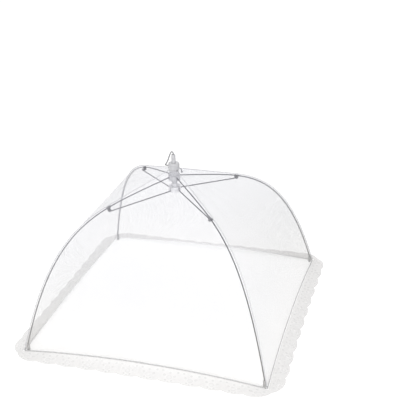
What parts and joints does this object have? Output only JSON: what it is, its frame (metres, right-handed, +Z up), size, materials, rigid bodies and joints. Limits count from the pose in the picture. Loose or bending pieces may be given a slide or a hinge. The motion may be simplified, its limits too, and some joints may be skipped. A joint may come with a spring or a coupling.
{
  "type": "mesh food cover umbrella",
  "caption": "Pop-up square net food cover on sprung ribs, with an umbrella hub, struts, runner, pull cord, taped seams and a scalloped lace hem.",
  "frame": {"origin": "on the table under the middle of the open cover", "axes": "+Z up along the hub's axis, -Y to the front side, +X to the right side"},
  "size_m": [0.488, 0.488, 0.3091],
  "materials": {
    "plastic": "satin",
    "steel": "drawn wire",
    "clip": "blackened",
    "foot": "matt",
    "net": "fine open net",
    "tape": "woven tape",
    "lace": "pierced lace",
    "cord": "twisted"
  },
  "bodies": {
    "canopy_root": {"crown_hub": "plastic", "crown_knob": "plastic", "crown_tip": "plastic", "crown_pin_1": "steel", "crown_pin_2": "steel", "crown_pin_3": "steel", "crown_pin_4": "steel", "net_panel_1": "net", "net_panel_2": "net", "net_panel_3": "net", "net_panel_4": "net", "rib_tape_1": "tape", "rib_tape_2": "tape", "rib_tape_3": "tape", "rib_tape_4": "tape", "hem_tape_1": "tape", "hem_tape_2": "tape", "hem_tape_3": "tape", "hem_tape_4": "tape", "lace_1": "lace", "lace_2": "lace", "lace_3": "lace", "lace_4": "lace", "cord_free": "cord", "cord_knot_end": "cord"},
    "rib_arm_1": {"rib_1": "steel", "rib_clip_1": "clip", "rib_foot_1": "foot"},
    "rib_arm_2": {"rib_2": "steel", "rib_clip_2": "clip", "rib_foot_2": "foot"},
    "rib_arm_3": {"rib_3": "steel", "rib_clip_3": "clip", "rib_foot_3": "foot"},
    "rib_arm_4": {"rib_4": "steel", "rib_clip_4": "clip", "rib_foot_4": "foot"},
    "runner_body": {"runner": "plastic", "cord_inner": "cord", "cord_knot_runner": "cord", "runner_pin_1": "steel", "runner_pin_2": "steel", "runner_pin_3": "steel", "runner_pin_4": "steel"},
    "strut_arm_1": {"strut_1": "steel", "strut_rivet_1": "steel"},
    "strut_arm_2": {"strut_2": "steel", "strut_rivet_2": "steel"},
    "strut_arm_3": {"strut_3": "steel", "strut_rivet_3": "steel"},
    "strut_arm_4": {"strut_4": "steel", "strut_rivet_4": "steel"}
  },
  "joints": [
    {"name": "rib_fold_1", "type": "hinge", "parent": "canopy_root", "child": "rib_arm_1", "pos_m": [0.0053, -0.0053, 0.261], "axis": [0.7071, 0.7071, 0], "range_deg": [0, 45]},
    {"name": "rib_fold_2", "type": "hinge", "parent": "canopy_root", "child": "rib_arm_2", "pos_m": [0.0053, 0.0053, 0.261], "axis": [-0.7071, 0.7071, 0], "range_deg": [0, 45]},
    {"name": "rib_fold_3", "type": "hinge", "parent": "canopy_root", "child": "rib_arm_3", "pos_m": [-0.0053, 0.0053, 0.261], "axis": [-0.7071, -0.7071, 0], "range_deg": [0, 45]},
    {"name": "rib_fold_4", "type": "hinge", "parent": "canopy_root", "child": "rib_arm_4", "pos_m": [-0.0053, -0.0053, 0.261], "axis": [0.7071, -0.7071, 0], "range_deg": [0, 45]},
    {"name": "runner_slide", "type": "slide", "parent": "canopy_root", "child": "runner_body", "axis": [0, 0, -1], "range_m": [0, 0.18899], "deforming": ["cord_inner"]},
    {"name": "strut_swing_1", "type": "hinge", "parent": "runner_body", "child": "strut_arm_1", "pos_m": [0.00764, -0.00297, 0.2395], "axis": [-0.7071, -0.7071, 0], "range_deg": [0, 63.21]},
    {"name": "strut_swing_2", "type": "hinge", "parent": "runner_body", "child": "strut_arm_2", "pos_m": [0.00297, 0.00764, 0.2395], "axis": [0.7071, -0.7071, 0], "range_deg": [0, 63.21]},
    {"name": "strut_swing_3", "type": "hinge", "parent": "runner_body", "child": "strut_arm_3", "pos_m": [-0.00764, 0.00297, 0.2395], "axis": [0.7071, 0.7071, 0], "range_deg": [0, 63.21]},
    {"name": "strut_swing_4", "type": "hinge", "parent": "runner_body", "child": "strut_arm_4", "pos_m": [-0.00297, -0.00764, 0.2395], "axis": [-0.7071, 0.7071, 0], "range_deg": [0, 63.21]}
  ],
  "couplings": [
    {"joint": "rib_fold_2", "follows": "rib_fold_1", "ratio": 1},
    {"joint": "rib_fold_3", "follows": "rib_fold_1", "ratio": 1},
    {"joint": "rib_fold_4", "follows": "rib_fold_1", "ratio": 1},
    {"joint": "runner_slide", "follows": "rib_fold_1", "m_per_rad": 0.24063},
    {"joint": "strut_swing_1", "follows": "rib_fold_1", "ratio": 1.4047},
    {"joint": "strut_swing_2", "follows": "rib_fold_1", "ratio": 1.4047},
    {"joint": "strut_swing_3", "follows": "rib_fold_1", "ratio": 1.4047},
    {"joint": "strut_swing_4", "follows": "rib_fold_1", "ratio": 1.4047}
  ]
}
